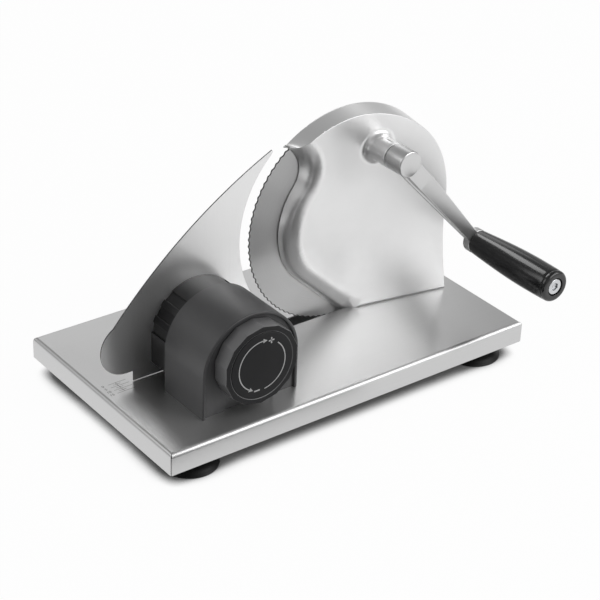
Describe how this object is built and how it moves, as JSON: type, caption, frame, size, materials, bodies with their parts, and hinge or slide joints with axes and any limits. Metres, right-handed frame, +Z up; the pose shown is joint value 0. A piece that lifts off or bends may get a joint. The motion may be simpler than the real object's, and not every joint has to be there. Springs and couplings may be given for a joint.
{
  "type": "bread slicer",
  "caption": "Hand-cranked bread slicer: a round wavy blade under a cast guard, a sliding thickness fence with knob, on a folded steel base with suction feet.",
  "frame": {"origin": "on the table, below the centre of the overall box", "axes": "+X along the long edge of the base towards the crank side, +Y away from the user to the bread side, +Z up"},
  "size_m": [0.38, 0.2698, 0.2334],
  "materials": {
    "brushed_sheet": "brushed stainless sheet",
    "satin_casting": "satin bead-blasted casting",
    "blade_steel": "ground stainless blade",
    "bright_steel": "zinc-plated fasteners",
    "housing_plastic": "fine moulded texture",
    "knob_plastic": "satin moulded",
    "grip_plastic": "polished phenolic",
    "foot_rubber": "moulded rubber",
    "bush_brass": "turned",
    "gear_nylon": "moulded nylon"
  },
  "bodies": {
    "frame": {"base_plate": "brushed_sheet", "foot_front_left": "foot_rubber", "foot_front_right": "foot_rubber", "foot_rear_left": "foot_rubber", "foot_rear_right": "foot_rubber", "foot_posts": "bright_steel", "foot_studs": "bright_steel", "foot_nuts": "bright_steel", "blade_guard": "satin_casting", "guard_screws": "bright_steel", "crank_bush": "bush_brass", "blade_axle": "bright_steel", "blade_lock_screw": "bright_steel", "lock_washer": "bright_steel", "adjuster_housing": "housing_plastic", "housing_screws": "bright_steel"},
    "crank": {"crank_arm": "satin_casting", "crank_shaft": "bright_steel", "thrust_washer": "bright_steel", "crank_pinion": "bright_steel", "shaft_clip": "bright_steel", "arm_set_screw": "bright_steel", "handle_bolt": "bright_steel", "handle_washer": "bright_steel"},
    "grip": {"handle_grip": "grip_plastic"},
    "blade_set": {"blade": "blade_steel", "blade_gear": "gear_nylon", "blade_bush": "bush_brass", "blade_rivets": "bright_steel"},
    "fence": {"fence_plate": "brushed_sheet", "fence_sleeve": "housing_plastic", "fence_studs": "bright_steel", "fence_nuts": "bright_steel", "spindle_nut": "bush_brass"},
    "knob": {"adjust_knob": "knob_plastic", "knob_cap": "knob_plastic", "knob_screw": "bright_steel", "spindle": "bright_steel", "knob_washer": "bright_steel"}
  },
  "joints": [
    {"name": "crank_turn", "type": "hinge", "parent": "frame", "child": "crank", "pos_m": [0.086, -0.01337, 0.19721], "axis": [0, 1, 0], "continuous": true},
    {"name": "blade_turn", "type": "hinge", "parent": "frame", "child": "blade_set", "pos_m": [0.066, 0.03262, 0.127], "axis": [0, 1, 0], "continuous": true},
    {"name": "grip_turn", "type": "hinge", "parent": "crank", "child": "grip", "pos_m": [0.17347, -0.03492, 0.09835], "axis": [0, 1, 0], "continuous": true},
    {"name": "knob_turn", "type": "hinge", "parent": "frame", "child": "knob", "pos_m": [-0.0933, -0.05508, 0.0785], "axis": [0, 1, 0], "range_deg": [-466, 610]},
    {"name": "fence_slide", "type": "slide", "parent": "frame", "child": "fence", "axis": [0, 1, 0], "range_m": [-0.0085, 0.0065]}
  ],
  "couplings": [
    {"joint": "blade_turn", "follows": "crank_turn", "ratio": -0.4898},
    {"joint": "fence_slide", "follows": "knob_turn", "m_per_rad": -0.00079577}
  ]
}
